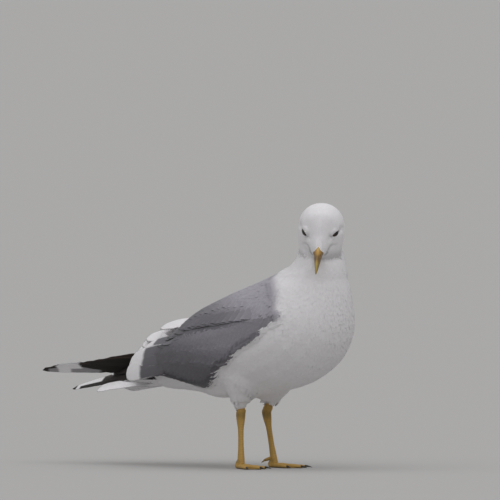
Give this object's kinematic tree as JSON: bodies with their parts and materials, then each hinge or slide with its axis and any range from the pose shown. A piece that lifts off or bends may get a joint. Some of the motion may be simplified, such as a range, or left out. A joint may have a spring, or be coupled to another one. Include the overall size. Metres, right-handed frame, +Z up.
{
  "type": "common gull",
  "caption": "Life-size model of a common gull, a white and grey seabird, standing on both feet with its head turned and bowed.",
  "frame": {"origin": "on the floor, under the middle of the bird's box", "axes": "+Z up; the bird faces -Y and its left side is +X"},
  "size_m": [0.1098, 0.3788, 0.2451],
  "materials": {
    "white_plumage": "soft matt white feathers",
    "grey_plumage": "soft matt mid-grey feathers with white crescents",
    "black_plumage": "satin black quills with white mirrors and tips",
    "bill_horn": "satin yellow-green horn",
    "leg_skin": "scaled ochre-yellow skin",
    "claw_horn": "satin near-black horn",
    "eye": "wet dark brown"
  },
  "bodies": {
    "root": {"head": "white_plumage", "neck": "white_plumage", "trunk": "white_plumage", "tail": "white_plumage", "thigh_right": "white_plumage", "thigh_left": "white_plumage", "wing_right_scapulars": "grey_plumage", "wing_right_coverts": "grey_plumage", "wing_right_tertials": "grey_plumage", "wing_left_scapulars": "grey_plumage", "wing_left_coverts": "grey_plumage", "wing_left_tertials": "grey_plumage", "wing_right_primaries": "black_plumage", "wing_left_primaries": "black_plumage", "shank_right": "leg_skin", "foot_right": "leg_skin", "hallux_right": "leg_skin", "shank_left": "leg_skin", "foot_left": "leg_skin", "hallux_left": "leg_skin", "claw_inner_right": "claw_horn", "claw_middle_right": "claw_horn", "claw_outer_right": "claw_horn", "claw_inner_left": "claw_horn", "claw_middle_left": "claw_horn", "claw_outer_left": "claw_horn", "bill_upper": "bill_horn", "bill_lower": "bill_horn", "eye_right": "eye", "eye_left": "eye"}
  },
  "joints": []
}
